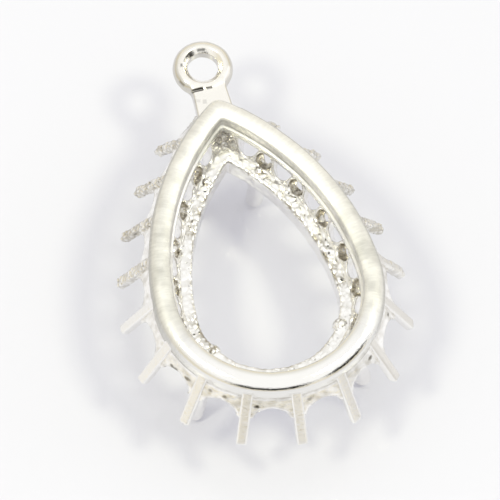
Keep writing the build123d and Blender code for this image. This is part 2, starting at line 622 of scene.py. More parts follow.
    def coats(self, smooth: Array, dented: Array, rows: Array) -> dict[Coat, Array]:
        """Paints the rail: polished round the belly, satin on the flanks, brown with painted shade on the
        inner wall and outer edge, painted light and shade by side, and a painted reflection on the belly's
        inner side.

        Args:
            smooth: the rail's points before it is dented.
            dented: its points after that.
            rows: how dark the row of each point is, from -1 to 1.

        Returns:
            The values of each coat.
        """
        out, run = LINE.locate(smooth[:, 0], smooth[:, 1])
        height, places = smooth[:, 2], run / LINE.pitch
        patchy = self.patches(dented)
        left = self.left_fade(dented[:, 0])
        polish = 1 - self.matt_fade(places / np.where(smooth[:, 0] < 0, *self.matt_from))
        inner = self.inner_fade(out - self.outset + self.width)
        # Painted shade on the inner wall, for the dark inside that it faces, varied at random row by row.
        wall = inner * self.wall_fade(height + self.brow) * (1 + self.row_tone * rows) * (1 + patchy)
        # Painted shade on the outer edge, for the dark surroundings that it reflects, weaker on the polished
        # belly.
        edge = self.edge_fade(out - self.outset) * (1 - self.edge_shade_cut * polish)
        # The satin's tarnished tint, with painted light on the upper flanks and painted shade on the left
        # limb.
        lighter = self.upper_fade(places) * (self.upper_lightness - self.left_darkness * left)
        satin = (1 - self.satin_wear * polish) * (1 - lighter) * (1 + self.left_shade * left)
        satin = satin * (1 + self.satin_patches * patchy)
        # Painted reflection of beige surroundings on the polished belly's inner side.
        brow = polish * self.brow_fade(out)
        # The ledge's top is polished and kept out of the brown, less so near the tip and in places.
        ledge = inner * self.ledge_fade(height + self.depth - self.ledge_depth)
        ledge = ledge * (1 - self.ledge_loss * self.tip_fade(places - LINE.halo_pairs))
        ledge = ledge * np.clip(self.ledge_patches[0] + self.ledge_patches[1] * patchy, 0, 1)
        tarnish_and_shade = np.maximum.reduce([
            wall * self.wall_shade, edge * self.edge_shade,
            satin * self.satin_tarnish, brow * self.brow_shade,
        ])
        return {
            Coat.POLISH: np.maximum(polish, ledge * self.ledge_polish),
            Coat.TARNISH_AND_SHADE: np.clip(tarnish_and_shade * (1 - ledge), 0, 1),
            Coat.RUN: run,
        }

    def build(self) -> Piece:
        """Lays the rail's skin, dents it a little and paints it.

        Returns:
            The rail.
        """
        rings = self.rings()
        count, around = rings.shape[:2]
        smooth = rings.reshape(-1, 3)
        faces = [
            [(i + 1) % count * around + j, (i + 1) % count * around + (j + 1) % around,
             i * around + (j + 1) % around, i * around + j]
            for i in range(count) for j in range(around)
        ]
        dented = raised(smooth, faces, (self.dents(smooth) - 1) * self.dent_height)
        rows = np.random.default_rng(self.row_seed).uniform(-1, 1, around)
        return Piece("back_rail", dented, faces, self.coats(smooth, dented, np.tile(rows, count)))


@dataclass(frozen=True)
class Collet:
    """Inner pear ring that the centre stone rests on, rough as cast at the back."""

    inset: float = 2.35
    width: float = 0.85
    drop: float = 2.36
    depth: float = 1.79
    bevel: float = 0.36
    back_round: float = 0.24
    cell: float = 0.068
    grain: Nuggets = Nuggets(0.40, 7.0)
    grain_height: float = 0.068
    grain_level: float = 0.4
    patches: Lumps = Lumps(2.2, 1, 1.5)
    side_grain: Lumps = Lumps(0.5, 2, 9.0)
    side_height: float = 0.035
    pit_shade: float = 0.85
    side_shade: float = 0.05
    back_fade: Ramp = Ramp(-0.55, -0.12)
    patch_fade: Ramp = Ramp(-0.25, 0.25, least=0.35)
    rim_fade: Ramp = Ramp(0.45, 0.10, least=0.5)
    side_fade: Ramp = Ramp(0.25, 0.0)
    pit_fade: Ramp = Ramp(-0.05, -0.9)

    @property
    def shelf(self) -> float:
        """Outset of the collet's outer side."""
        return -self.inset + self.width

    @property
    def foot(self) -> float:
        """Height of the collet's front."""
        return -self.drop - self.depth

    def section(self) -> list[Pair]:
        """Works out the collet's section.

        Returns:
            Corners in (outset, height).
        """
        inner, r = -self.inset, self.back_round
        turns = [math.pi - k * math.pi / 8 for k in range(5)]
        back = [(inner + r * (1 + math.cos(a)), -self.drop - r * (1 - math.sin(a))) for a in turns]
        return back + [
            (self.shelf, -self.drop),
            (self.shelf, self.foot + self.bevel),
            (self.shelf + self.bevel, self.foot),
            (inner + self.bevel, self.foot),
            (inner, self.foot + self.bevel),
        ]

    def build(self) -> Piece:
        """Lays the collet's skin and raises the nuggets on its back.

        Returns:
            The collet.
        """
        grid = Grid.round_pear(0.0, 0.0, self.foot - ROOM_BELOW, -self.drop + ROOM_ABOVE, self.cell)
        vertices, faces = grid.skin(outline_distance(self.section(), grid.outset, grid.height))
        out, _ = LINE.locate(vertices[:, 0], vertices[:, 1])
        back = self.back_fade(vertices[:, 2] + self.drop)
        coarse = self.grain(vertices)
        patches = self.patch_fade(self.patches(vertices))
        rise = (coarse - self.grain_level) * self.grain_height * back * patches
        rise = rise + self.side_grain(vertices) * self.side_height
        rim = self.rim_fade(out + self.inset)
        # Painted shade in the low pits between the nuggets on the back.
        pits = back * self.pit_fade(coarse) * self.pit_shade * patches * rim
        # Painted shade on the collet's inner side, for the shaded table that it reflects.
        side = self.side_fade(out + self.inset) * (1 - back) * self.side_shade
        coats = {Coat.TARNISH_AND_SHADE: np.maximum(pits, side), Coat.PITTED: back * patches}
        return Piece("collet", raised(vertices, faces, rise), faces, coats)


@dataclass(frozen=True)
class Nook:
    """Nook in the tier's outer wall, darkened with painted shade: its place in pitches, its drop and half
    sizes in millimetres.
    """

    place: float
    drop: float
    darkness: float
    half_width: float = 0.17
    half_height: float = 0.09

    def reach(self, places: Array, height: Array) -> Array:
        """How far points lie from the nook's middle, in its own half sizes."""
        along = (places - self.place) * LINE.pitch / self.half_width
        return np.hypot(along, (height + self.drop) / self.half_height)


@dataclass(frozen=True)
class HaloTier:
    """Tier between the rail and the collet, with seats for round stones, cups behind them and windows."""

    rail: BackRail
    collet: Collet
    lap: float = 0.20
    wall: float = 1.62
    splay: float = 31.5
    seat_radius: float = 1.36
    seat_inset: float = 0.56
    seat_drop: float = 1.88
    seat_rim: float = 1.06
    seat_flare: float = 0.35
    seat_round: float = 0.16
    pilot_radius: float = 0.28
    pocket_radius: float = 0.55
    pocket_inset: float = 1.20
    pocket_drop: float = 1.92
    window_radius: float = 0.73
    window_inset: float = 0.76
    window_drop: float = 1.90
    window_tilt: float = 20.0
    rim_round: float = 0.08
    cell: float = 0.092
    room_aside: float = 2.0
    room_past_tip: float = 3.0
    grain: Lumps = Lumps(0.34, 3, 7.0)
    grain_height: float = 0.022
    tip_grain: Nuggets = Nuggets(0.34, 4.0)
    tip_grain_height: float = 0.065
    tip_grain_level: float = 0.4
    mottle: Lumps = Lumps(0.55, 2, 8.0)
    mottle_share: float = 3.0
    cup_ripple: float = 0.12
    nook_ripple: float = 0.5
    cup_shade: float = 0.85
    post_tarnish: float = 0.12
    tip_pit_shade: float = 0.45
    tip_pits: float = 0.5
    tip_fade: Ramp = Ramp(0.15, 0.5)
    web_fade: Ramp = Ramp(0.3, -0.2, least=0.55)
    cup_fade: Ramp = Ramp(0.12, -0.10)
    back_fade: Ramp = Ramp(-0.35, 0.05)
    mottle_fade: Ramp = Ramp(0.2, 0.4)
    tip_pit_fade: Ramp = Ramp(0.5, -0.7)
    nook_fade: Ramp = Ramp(1.4, 0.5)
    nook_wall_fade: Ramp = Ramp(0.0, 0.2)
    nooks: tuple[Nook, ...] = (
        Nook(-0.80, 1.80, 0.90),
        Nook(-1.44, 1.66, 0.50),
        Nook(-1.75, 1.62, 0.45),
        Nook(-2.25, 1.78, 0.45),
        Nook(-2.29, 1.84, 0.55),
        Nook(-2.60, 1.86, 0.55),
        Nook(-2.68, 1.90, 0.60),
        Nook(0.26, 1.64, 0.40),
        Nook(1.78, 1.76, 0.65),
        Nook(2.80, 1.78, 0.80),
    )

    @property
    def lean(self) -> Pair:
        """Direction of the seats' axis towards the front, in (outset, height)."""
        return math.sin(math.radians(self.splay)), -math.cos(math.radians(self.splay))

    def section(self) -> list[Pair]:
        """Works out the tier's section, whose inner end is buried in the collet.

        Returns:
            Corners in (outset, height).
        """
        out, down = self.lean
        rail, collet = self.rail, self.collet
        middle = (self.wall * out - self.seat_inset, self.wall * down - self.seat_drop)
        reach = (middle[0] - rail.outset) * down - (rail.depth + middle[1]) * out
        front = (middle[0] - reach * down, middle[1] + reach * out)
        buried = collet.shelf - self.lap
        return [
            (buried, -collet.drop - self.lap / 2),
            (collet.shelf, -collet.drop),
            (-rail.ledge_inset, -rail.depth),
            (-rail.ledge_inset + self.lap, -rail.depth + self.lap),
            (rail.outset - self.lap / 4, -rail.depth + self.lap),
            (rail.outset, -rail.depth),
            front,
            (collet.shelf + collet.bevel, collet.foot),
            (buried, collet.foot + self.lap / 2),
        ]

    def windows(self, grid: Grid) -> Array:
        """Distance to the round windows behind the halo prongs."""
        out, along = about(grid.x, grid.y, LINE.nearest_prong(grid.place))
        tilt = math.radians(self.window_tilt)
        out, height = out + self.window_inset, grid.height + self.window_drop
        return np.hypot(out * math.cos(tilt) + height * math.sin(tilt), along) - self.window_radius

    def seats(self, grid: Grid) -> Array:
        """Distance to the conical seats with their pilot holes."""
        out, along = about(grid.x, grid.y, LINE.nearest_seat(grid.place))
        lean_out, lean_down = self.lean
        u, v = out + self.seat_inset, grid.height + self.seat_drop
        depth = u * lean_out + v * lean_down
        radius = np.hypot(u * lean_down - v * lean_out, along)
        past_rim = depth - self.seat_rim
        widening = np.where(past_rim < 0, past_rim, past_rim * self.seat_flare)
        cone = (radius - np.maximum(self.seat_radius + widening, 0)) * math.sqrt(0.5)
        cone = np.maximum(cone, self.pilot_radius - self.seat_radius - past_rim)
        return np.minimum(cone, radius - self.pilot_radius)

    def past_cups(self, x: Array, y: Array, height: Array, places: Array) -> Array:
        """Distance to the nearest cup behind a seat."""
        out, along = about(x, y, LINE.nearest_seat(places))
        out, height = out + self.pocket_inset, height + self.pocket_drop
        return np.sqrt(out**2 + along**2 + height**2) - self.pocket_radius

    def coats(self, smooth: Array, grained: Array, rough: Array, coarse: Array) -> dict[Coat, Array]:
        """Paints the tier: painted shade in the cups, the nooks and the tip's pits, lightly browned posts,
        and a pitted tip.

        Args:
            smooth: the tier's points before its grain is raised.
            grained: its points after that.
            rough: height of the grain at each point.
            coarse: height of the tip's coarser grain at each point.

        Returns:
            The values of each coat.
        """
        x, y, height = smooth.T
        out, run = LINE.locate(x, y)
        places = LINE.places(x, run)
        back = self.back_fade(height + self.collet.drop)
        tip = self.tip_fade(run / LINE.pitch - LINE.halo_pairs) * back
        # Painted shade inside the cups behind the seats.
        cup = self.cup_fade(self.past_cups(x, y, height, places) + self.cup_ripple * rough)
        mottle = self.mottle(grained) * self.mottle_fade(out)
        nook = np.zeros(len(smooth))
        # Painted shade at the nooks beside the prongs, on the outer wall only.
        for spot in self.nooks:
            dark = self.nook_fade(spot.reach(places, height) + self.nook_ripple * rough) * spot.darkness
            nook = np.maximum(nook, dark * self.nook_wall_fade(out))
        tarnish_and_shade = np.maximum.reduce([
            cup * self.cup_shade,
            back * self.post_tarnish * (1 + rough + self.mottle_share * mottle),
            # Painted shade in the low pits of the tip's coarse grain.
            tip * self.tip_pit_fade(coarse) * self.tip_pit_shade,
            nook,
        ])
        return {Coat.TARNISH_AND_SHADE: np.clip(tarnish_and_shade, 0, 1), Coat.DARKENING: nook, Coat.PITTED: tip * self.tip_pits}

    def build(self) -> Piece:
        """Cuts the tier, lays its skin, raises its grain and paints it.

        Returns:
            The tier.
        """
        low, high = self.collet.foot - ROOM_BELOW, -self.rail.depth + self.lap + ROOM_ABOVE
        grid = Grid.round_pear(self.room_aside, self.room_past_tip, low, high, self.cell)
        body = outline_distance(self.section(), grid.outset, grid.height)
        body = cut(body, self.seats(grid), self.seat_round)
        body = cut(body, self.windows(grid), self.rim_round)
        body = cut(body, self.past_cups(grid.x, grid.y, grid.height, grid.place), self.rim_round)
        smooth, faces = grid.skin(body)
        out, run = LINE.locate(smooth[:, 0], smooth[:, 1])
        tip = self.tip_fade(run / LINE.pitch - LINE.halo_pairs)
        rough, coarse = self.grain(smooth), self.tip_grain(smooth)
        rise = rough * self.grain_height * (1 - tip) * self.web_fade(out)
        rise = rise + (coarse - self.tip_grain_level) * self.tip_grain_height * tip
        grained = raised(smooth, faces, rise)
        return Piece("halo_tier", grained, faces, self.coats(smooth, grained, rough, coarse))


@dataclass(frozen=True)
class HaloProngs:
    """Bars that lean outward between the halo seats, slightly squared, each a little different."""

    splay: float = 31.5
    width: float = 0.72
    thickness: float = 0.62
    outset: float = 0.58
    drop: float = 1.66
    length: float = 3.16
    root: float = 0.95
    edge_round: float = 0.15
    taper: float = 0.05
    skew: float = 0.25
    spread: float = 0.05
    width_spread: float = 0.06
    seed: int = 21
    cell: float = 0.065
    room_aside: float = 3.2
    room_past_tip: float = 2.0
    root_end: float = -0.6
    grain: Nuggets = Nuggets(0.38, 2.0)
    grain_height: float = 0.075
    grain_level: float = 0.3
    face_shade: float = 0.09
    right_shade: float = 0.24
    rough_tarnish: float = 0.15
    pit_shade: float = 0.45
    pit_share: float = 0.5
    rough_from: Pair = (3.8, 3.0)
    rough_fade: Ramp = Ramp(0.0, 1.8, least=0.06)
    pit_fade: Ramp = Ramp(0.2, -0.9)
    face_fade: Ramp = Ramp(-0.12, -0.03)
    side_fade: Ramp = Ramp(-0.03, -0.13)
    right_fade: Ramp = Ramp(1.2, 2.2)

    def walls(self, x: Array, y: Array, height: Array, places: Array) -> tuple[Array, Array, Array]:
        """Measures points from the walls of the nearest prong, each distance negative inside it.

        Args:
            x: places across the pear.
            y: places along the pear.
            height: heights over the rail's top.
            places: places along the guide line, in pitches.

        Returns:
            The distances from the prong's sides, from its outer face, and from its ends.
        """
        nearest = LINE.nearest_prong(places)
        out, along = about(x, y, nearest)
        chance = np.random.default_rng(self.seed)
        odds = chance.uniform(-1, 1, (2 * LINE.halo_pairs + 1, 5))
        tilt, shift, stop, size, slant = np.moveaxis(odds[(nearest + LINE.halo_pairs).astype(int)], -1, 0)
        lean = math.radians(self.splay)
        u, v = out - self.outset, height + self.drop
        depth = u * math.sin(lean) - v * math.cos(lean)
        share = np.clip(depth / self.length, 0, 1)
        across = u * math.cos(lean) + v * math.sin(lean) - tilt * self.spread / 2 * share
        along = along + shift * self.spread * share
        end = self.length + (stop - 1) * self.spread + slant * self.skew * along
        half_width = self.width / 2 * (1 - self.taper * share) * (1 + self.width_spread * size)
        ends = np.abs(depth - (end - self.root) / 2) - (end + self.root) / 2
        return np.abs(along) - half_width, across - self.thickness / 2, ends

    def build(self) -> Piece:
        """Lays one skin over all the prongs, raises the upper ones' grain and paints them.

        Returns:
            The prongs.
        """
        low = -self.drop - self.length
        grid = Grid.round_pear(self.room_aside, self.room_past_tip, low, self.root_end, self.cell)
        side, face, ends = self.walls(grid.x, grid.y, grid.height, grid.place)
        thick = np.abs(face + self.thickness / 2) - self.thickness / 2
        vertices, faces = grid.skin(rounded((side, thick, ends), self.edge_round))
        x, y, height = vertices.T
        places = LINE.places(x, LINE.locate(x, y)[1])
        rough = self.rough_fade(np.abs(places) - np.where(x < 0, *self.rough_from))
        coarse = self.grain(vertices)
        side, face, _ = self.walls(x, y, height, places)
        # Painted shade on each prong's outer face, leaving its edges bright, and more on the prongs to the
        # right.
        face_shade_share = self.face_shade + self.right_shade * self.right_fade(places)
        face_shade_share = face_shade_share * self.face_fade(face) * self.side_fade(side)
        # Painted shade in the low pits of the rough prongs, over their flat darker tone.
        tarnish_and_shade = rough * (self.pit_shade * self.pit_fade(coarse) + self.rough_tarnish)
        coats = {Coat.TARNISH_AND_SHADE: np.maximum(tarnish_and_shade, face_shade_share), Coat.PITTED: rough * self.pit_share}
        rise = (coarse - self.grain_level) * rough * self.grain_height
        return Piece("halo_prongs", raised(vertices, faces, rise), faces, coats)


@dataclass(frozen=True)
class CentreProngs:
    """Four round bars from lobes on the collet's back down to the surface.

    The upper and the lower pair each have a place in pitches, an inset in millimetres and a splay in degrees.
    """

    collet: Collet
    floor: float
    radius: float = 0.56
    lobe_rise: float = 0.12
    heart_y: float = 1.40
    upper: tuple[float, float, float] = (7.50, 1.84, 11.4)
    lower: tuple[float, float, float] = (2.45, 2.06, 18.3)
    cell: float = 0.075
    room: float = 0.2
    grain: Nuggets = Nuggets(0.40, 11.0)
    grain_level: float = 0.3
    bar_grain: float = 0.12
    lobe_fade: Ramp = Ramp(-0.6, -0.1)
    pit_fade: Ramp = Ramp(-0.1, -0.9)

    def axes(self) -> list[tuple[Array, Array]]:
        """Works out each prong's axis.

        Returns:
            The start and the end of each axis, the end one radius above the surface.
        """
        ends = []
        for place, inset, splay in (self.upper, self.lower):
            for side in (-1, 1):
                x, y, angle = LINE.station(side * place)
                start = np.array([
                    x - inset * math.cos(angle), y - inset * math.sin(angle),
                    self.lobe_rise - self.collet.drop - self.radius,
                ])
                bearing = math.atan2(start[1] - self.heart_y, start[0])
                fall = start[2] - self.radius - self.floor
                lean = fall * math.tan(math.radians(splay))
                ends.append((start, start + (lean * math.cos(bearing), lean * math.sin(bearing), -fall)))
        return ends

    def build(self) -> Piece:
        """Lays a skin over each bar, joins the four, and raises the lobes' grain.

        Returns:
            The prongs.
        """
        skins, faces = [], []
        for start, end in self.axes():
            margin = self.radius + self.room
            low, high = np.minimum(start, end) - margin, np.maximum(start, end) + margin
            grid = Grid(tuple(low), tuple(high), self.cell)
            run = end - start
            away = (grid.x - start[0], grid.y - start[1], grid.height - start[2])
            share = np.clip(sum(a * r for a, r in zip(away, run)) / (run @ run), 0, 1)
            body = np.sqrt(sum((a - r * share) ** 2 for a, r in zip(away, run))) - self.radius
            skin, quads = grid.skin(body)
            faces.extend((np.array(quads) + sum(len(made) for made in skins)).tolist())
            skins.append(skin)
        vertices = np.concatenate(skins)
        lobe = self.lobe_fade(vertices[:, 2] + self.collet.drop)
        coarse = self.grain(vertices)
        rise = (coarse - self.grain_level) * self.collet.grain_height
        rise = rise * (self.bar_grain + (1 - self.bar_grain) * lobe)
        vertices = raised(vertices, faces, rise)
        vertices[:, 2] = np.maximum(vertices[:, 2], self.floor)
        # Painted shade in the low pits of the lobes' grain.
        tarnish_and_shade = lobe * self.pit_fade(coarse) * self.collet.pit_shade
        return Piece("centre_prongs", vertices, faces, {Coat.TARNISH_AND_SHADE: tarnish_and_shade})


@dataclass(frozen=True)
class Recess:
    """Small recess in the neck's face, darkened with painted shade, in millimetres."""

    x: float
    y: float
    half_length: float
    half_width: float
    depth: float
    darkness: float

    def distance(self, x: Array, y: Array) -> Array:
        """Distance to the recess's outline, seen from above."""
        return np.maximum(np.abs(x - self.x) - self.half_length, np.abs(y - self.y) - self.half_width)


@dataclass(frozen=True)
class DarkArc:
    """Dark arc on the eye's face: its ends in degrees, radius and half width in millimetres, and darkness."""

    start: float
    end: float
    radius: float
    half_width: float
    darkness: float

    def distance(self, x: Array, y: Array) -> Array:
        """Distance to the dark arc's outline, seen from above, with x and y from the eye's centre."""
        radius = np.hypot(x, y)
        turn = np.abs((np.degrees(np.arctan2(y, x)) - (self.start + self.end) / 2 + 180) % 360 - 180)
        past_end = np.radians(turn - (self.end - self.start) / 2) * radius
        return np.maximum(np.abs(radius - self.radius) - self.half_width, past_end)


@dataclass(frozen=True)
class HangingEye:
    """Ring at the pear's tip with bevelled bore, and the flat neck that joins it to the tier."""

    reach: float = 16.85
    drop: float = 2.10
    bore_radius: float = 0.97
    radius: float = 1.91
    thickness: float = 1.20
    bore_length: float = 0.56
    bevel: float = 0.30
    neck_width: float = 2.20
    foot_width: float = 2.44
    neck_thickness: float = 0.96
    foot_y: float = 12.6
    neck_round: float = 0.15
    fillet: float = 0.25
    recess_round: float = 0.03
    cell: float = 0.047
    room: float = 0.2
    room_z: float = 0.15
    grain: Lumps = Lumps(0.6, 2, 5.0)
    grain_height: float = 0.015
    flank_shade: float = 0.44
    bore_shade: float = 0.40
    recess_fade: Ramp = Ramp(0.05, -0.02)
    recess_top_fade: Ramp = Ramp(0.2, 0.3)
    dark_arc_fade: Ramp = Ramp(0.06, -0.03)
    dark_arc_top_fade: Ramp = Ramp(0.1, 0.2)
    flank_fade: Ramp = Ramp(0.95, 0.70)
    flank_radius_fade: Ramp = Ramp(1.3, 1.5)
    bore_fade: Ramp = Ramp(0.35, 0.15)
    bore_radius_fade: Ramp = Ramp(1.15, 1.05)
    recesses: tuple[Recess, ...] = (
        Recess(-0.76, 15.24, 0.36, 0.085, 0.14, 0.72),
        Recess(-0.02, 15.20, 0.20, 0.060, 0.08, 0.30),
    )
    dark_arcs: tuple[DarkArc, ...] = (
        DarkArc(71, 94, 1.14, 0.045, 0.75),
        DarkArc(107, 125, 1.11, 0.030, 0.60),
        DarkArc(133, 155, 1.20, 0.040, 0.75),
        DarkArc(164, 172, 1.36, 0.050, 0.70),
        DarkArc(202, 215, 1.80, 0.030, 0.50),
        DarkArc(244, 252, 2.53, 0.090, 0.13),
        DarkArc(256, 261, 2.56, 0.130, 0.20),
    )

    @property
    def far_edge(self) -> float:
        """The y of the ring's far edge."""
        return self.reach + self.radius

    def ring_section(self) -> list[Pair]:
        """Works out the ring's section.

        Returns:
            Corners in (radius, height from the ring's middle).
        """
        half, bore_half = self.thickness / 2, self.bore_length / 2
        bore, rim, centre = self.bore_radius, self.bore_radius + self.bevel, self.radius - half
        turns = [math.pi / 2 - k * math.pi / 12 for k in range(13)]
        edge = [(centre + half * math.cos(a), half * math.sin(a)) for a in turns]
        return [(bore, -bore_half), (bore, bore_half), (rim, half)] + edge + [(rim, -half)]

    def body(self, grid: Grid) -> Array:
        """Joins the ring and the neck, opens the bore and cuts the recesses.

        Args:
            grid: the sample points.

        Returns:
            The distance at each of them.
        """
        z = grid.height + self.drop
        centre_reach = np.hypot(grid.x, grid.y - self.reach)
        ring = outline_distance(self.ring_section(), centre_reach, z)
        waist = self.reach - self.radius
        near = self.reach - self.bore_radius - self.bevel
        share = np.clip((waist - grid.y) / (waist - self.foot_y), 0, 1)
        half_width = (self.neck_width + (self.foot_width - self.neck_width) * share) / 2
        bar = (np.abs(grid.x) - half_width, np.abs(z) - self.neck_thickness / 2)
        ends = np.abs(grid.y - (near + self.foot_y) / 2) - (near - self.foot_y) / 2
        body = smooth_min(ring, np.maximum(rounded(bar, self.neck_round), ends), self.fillet)
        bore = centre_reach - self.bore_radius
        cone = (bore - np.abs(z) + self.bore_length / 2) * math.sqrt(0.5)
        body = np.maximum(body, -np.minimum(bore, cone))
        for recess in self.recesses:
            floor = self.neck_thickness / 2 - recess.depth - z
            body = cut(body, np.maximum(recess.distance(grid.x, grid.y), floor), self.recess_round)
        return body

    def coats(self, vertices: Array, up: Array) -> dict[Coat, Array]:
        """Paints the eye: painted shade in the recesses and dark arcs on its back, and painted shade and
        reflection on its flanks and in its bore, set by how the skin faces.

        Args:
            vertices: points of the skin.
            up: the z of the normal at each of them.

        Returns:
            The values of each coat.
        """
        x, y, height = vertices.T
        y, level = y - self.reach, height + self.drop
        radius = np.hypot(x, y)
        darkening = np.zeros(len(vertices))
        # Painted shade inside the recesses.
        for recess in self.recesses:
            dark = self.recess_fade(recess.distance(x, y + self.reach)) * self.recess_top_fade(level)
            darkening = np.maximum(darkening, dark * recess.darkness)
        for dark_arc in self.dark_arcs:
            dark = self.dark_arc_fade(dark_arc.distance(x, y)) * self.dark_arc_top_fade(level)
            darkening = np.maximum(darkening, dark * dark_arc.darkness)
        # Painted reflection of beige surroundings on the steep flanks, and painted shade on the bore's walls.
        flank = self.flank_fade(up) * self.flank_radius_fade(radius) * self.flank_shade
        bore = self.bore_fade(np.abs(up)) * self.bore_radius_fade(radius) * self.bore_shade
        return {Coat.TARNISH_AND_SHADE: np.maximum(flank, bore), Coat.DARKENING: darkening}

    def build(self) -> Piece:
        """Lays a skin over the ring and the neck and paints it.

        Returns:
            The eye with its neck.
        """
        half_z = self.thickness / 2 + self.room_z
        half_x = self.radius + self.room
        low = (-half_x, self.foot_y - self.room, -self.drop - half_z)
        high = (half_x, self.far_edge + self.room, -self.drop + half_z)
        grid = Grid(low, high, self.cell)
        vertices, faces = grid.skin(self.body(grid))
        coats = self.coats(vertices, normals_of(vertices, faces)[:, 2])
        rise = self.grain(vertices) * self.grain_height
        return Piece("hanging_eye", raised(vertices, faces, rise), faces, coats)


@dataclass(frozen=True)
class Wiring:
    """Adds nodes to a shader's tree and joins them up."""

    tree: bpy.types.NodeTree

    def add(self, kind: str, inputs: dict[str, object], **options: object) -> dict[str, Socket]:
        """Adds a node.

        Args:
            kind: the node's type, without its prefix.
            inputs: the socket or the value that each input takes, by the input's identifier.
            options: the node's own settings.

        Returns:
            The node's outputs, by their identifiers.
        """
        node = self.tree.nodes.new("ShaderNode" + kind)
        for option, choice in options.items():
            setattr(node, option, choice)
        sockets = {socket.identifier: socket for socket in node.inputs}
        for name, given in inputs.items():
            if isinstance(given, Socket):
                self.tree.links.new(given, sockets[name])
            else:
                sockets[name].default_value = given
        return {socket.identifier: socket for socket in node.outputs}

    def coat(self, which: Coat) -> Socket:
        """Reads one of the skin's coats."""
        return self.add("Attribute", {}, attribute_name=which.value)["Fac"]

    def place(self) -> Socket:
        """Reads where on the object a point lies."""
        return self.add("TexCoord", {})["Object"]

    def noise(self, size: float, detail: float) -> Socket:
        """Draws noise of a size in millimetres over the object."""
        inputs = {"Vector": self.place(), "Scale": 1 / (size * MM), "Detail": detail}
        return self.add("TexNoise", inputs)["Fac"]

    def maths(self, operation: str, *terms: object, **options: object) -> Socket:
        """Joins up to three values by an operation."""
        inputs = dict(zip(("Value", "Value_001", "Value_002"), terms))
        return self.add("Math", inputs, operation=operation, **options)["Value"]

    def mix(self, share: Socket, under: object, over: object) -> Socket:
        """Lays one colour over another by a share."""
        inputs = {"Factor_Float": share, "A_Color": under, "B_Color": over}
        return self.add("Mix", inputs, data_type="RGBA")["Result_Color"]

    def span(self, value: Socket, to: Pair, given: Pair = (0.0, 1.0), **options: object) -> Socket:
        """Maps a value from one range to another.

        Args:
            value: socket of the value.
            to: what the ends of the range become.
            given: the ends of the range.
            options: the node's own settings.

        Returns:
            The socket of the mapped value.
        """
        ends = ("From Min", "From Max", "To Min", "To Max")
        inputs = {"Value": value, **dict(zip(ends, (*given, *to)))}
        return self.add("MapRange", inputs, **options)["Result"]


